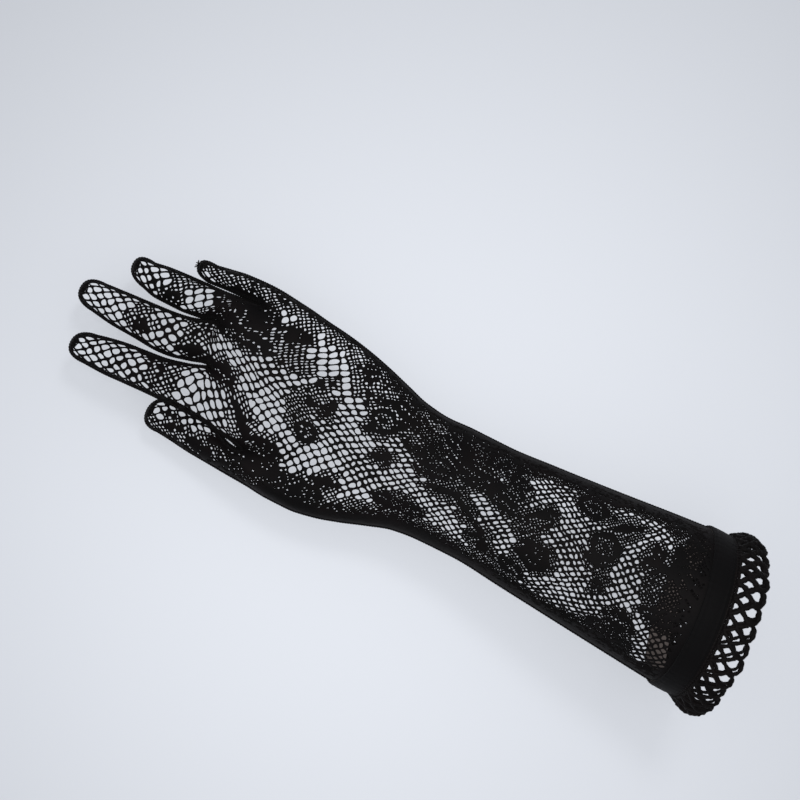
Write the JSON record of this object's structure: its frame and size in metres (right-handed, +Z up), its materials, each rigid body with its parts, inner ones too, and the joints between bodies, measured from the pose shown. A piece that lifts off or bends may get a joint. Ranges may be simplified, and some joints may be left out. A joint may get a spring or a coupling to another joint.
{
  "type": "mesh glove",
  "caption": "Long lace mesh glove for a right hand, in its worn form, with an overlocked edge seam, an elastic band and a flared openwork edging.",
  "frame": {"origin": "the middle of the elastic band's ring, on the line of the forearm where it goes in", "axes": "+X along the arm to the fingertips, +Z up from the back of the hand, +Y to the thumb side"},
  "size_m": [0.3402, 0.0902, 0.0769],
  "materials": {
    "lace": "black knitted lace mesh, soft and matte with a faint sheen",
    "seam_thread": "black overlock thread, matte",
    "elastic": "black ribbed elastic, matte",
    "edging_thread": "black crocheted cord, matte with a faint sheen"
  },
  "bodies": {
    "root": {"back_panel": "lace", "palm_panel": "lace", "edge_seam": "seam_thread", "cuff_band": "elastic", "lace_edging": "edging_thread"}
  },
  "joints": []
}
